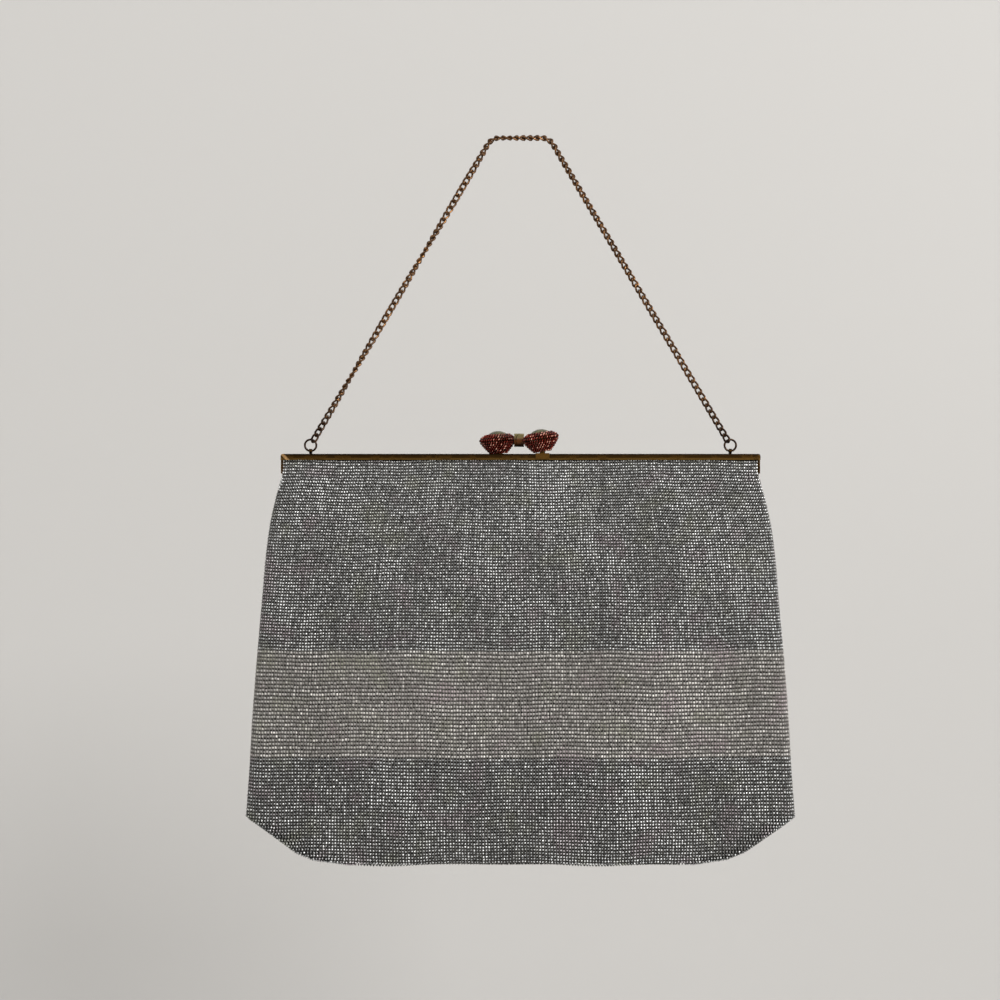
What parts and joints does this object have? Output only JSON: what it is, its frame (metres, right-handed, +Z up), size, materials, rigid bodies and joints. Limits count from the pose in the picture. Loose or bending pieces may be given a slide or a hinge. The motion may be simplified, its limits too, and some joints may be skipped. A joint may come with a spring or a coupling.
{
  "type": "kiss lock frame purse",
  "caption": "Beaded evening purse on a hinged brass kiss lock frame with jewelled knobs and a thin chain handle, shown hanging from its chain.",
  "frame": {"origin": "the hook seat: the middle of the underside of the chain where it lies over a hook", "axes": "+X to the right along the frame, +Y to the back, so the front faces -Y, +Z up"},
  "size_m": [0.2394, 0.0226, 0.3177],
  "materials": {
    "gilt_brass": "aged gilt, worn",
    "chain_metal": "dark copper-brown, tarnished",
    "garnet_glass": "glossy faceted",
    "olive_glass": "glossy domed",
    "beaded_cloth": "glass beads on cloth, sparkling",
    "satin": "smooth satin",
    "paper_cord": "twisted paper"
  },
  "bodies": {
    "chain": {"chain_links": "chain_metal", "left_jump_ring": "chain_metal", "right_jump_ring": "chain_metal"},
    "bag": {"rear_frame": "gilt_brass", "left_hinge_rivet": "gilt_brass", "right_hinge_rivet": "gilt_brass", "left_chain_eyelet": "gilt_brass", "right_chain_eyelet": "gilt_brass", "rear_bead_panel": "beaded_cloth", "front_panel_fold": "beaded_cloth", "front_panel_lower": "beaded_cloth", "rear_lining": "satin", "front_lining_lower": "satin", "slip_pocket": "satin", "rear_channel_cord": "paper_cord", "rear_knob_cup": "gilt_brass", "rear_knob_post": "gilt_brass", "rear_knob_cabochon": "olive_glass", "rear_knob_stones": "garnet_glass", "rear_catch_pad": "gilt_brass"},
    "front_half": {"front_frame": "gilt_brass", "front_panel_upper": "beaded_cloth", "front_lining_upper": "satin", "front_channel_cord": "paper_cord", "front_knob_cup": "gilt_brass", "front_knob_post": "gilt_brass", "front_knob_cabochon": "olive_glass", "front_knob_stones": "garnet_glass", "front_catch_pad": "gilt_brass"}
  },
  "joints": [
    {"name": "bag_swing", "type": "hinge", "parent": "chain", "child": "bag", "pos_m": [0, 0, -0.1346], "axis": [1, 0, 0], "range_deg": [-84, 84]},
    {"name": "frame_hinge", "type": "hinge", "parent": "bag", "child": "front_half", "pos_m": [0, 0, -0.1699], "axis": [1, 0, 0], "range_deg": [0, 75], "deforming": ["front_panel_fold"]}
  ]
}
